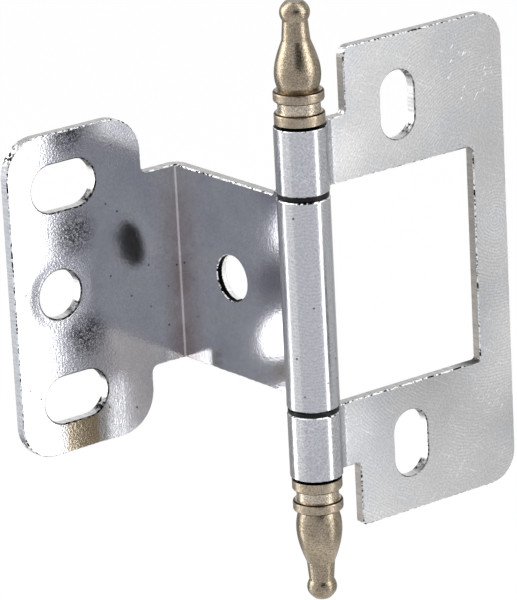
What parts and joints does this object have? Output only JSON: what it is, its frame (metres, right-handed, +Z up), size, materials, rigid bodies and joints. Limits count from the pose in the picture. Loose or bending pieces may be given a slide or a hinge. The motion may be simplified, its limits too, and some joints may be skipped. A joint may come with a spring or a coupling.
{
  "type": "non-mortise butt hinge",
  "caption": "Plated sheet steel butt hinge with a slotted frame leaf, a door leaf that nests in its window and wraps behind the door, and a pin with turned finials.",
  "frame": {"origin": "on the frame leaf's mounting face, midway between its two slotted screw holes", "axes": "+Z up along the pin, -Y out of the mounting face towards the cabinet frame, +X across the frame leaf away from the pin; the door leaf is drawn opened by 90 degrees"},
  "size_m": [0.0597, 0.0304, 0.0786],
  "materials": {
    "plated_leaf": "bright plated, slightly scuffed",
    "pin_steel": "drawn wire",
    "black_washer": "matt",
    "finial_nickel": "turned, pale nickel over brass"
  },
  "bodies": {
    "frame_side": {"frame_leaf": "plated_leaf", "hinge_pin": "pin_steel", "upper_washer": "black_washer", "lower_washer": "black_washer", "upper_finial": "finial_nickel", "lower_finial": "finial_nickel"},
    "door_side": {"door_leaf": "plated_leaf"}
  },
  "joints": [
    {"name": "leaf_swing", "type": "hinge", "parent": "frame_side", "child": "door_side", "pos_m": [-0.0152, 0.00075, 0], "axis": [0, 0, 1], "range_deg": [-90, 90]}
  ]
}
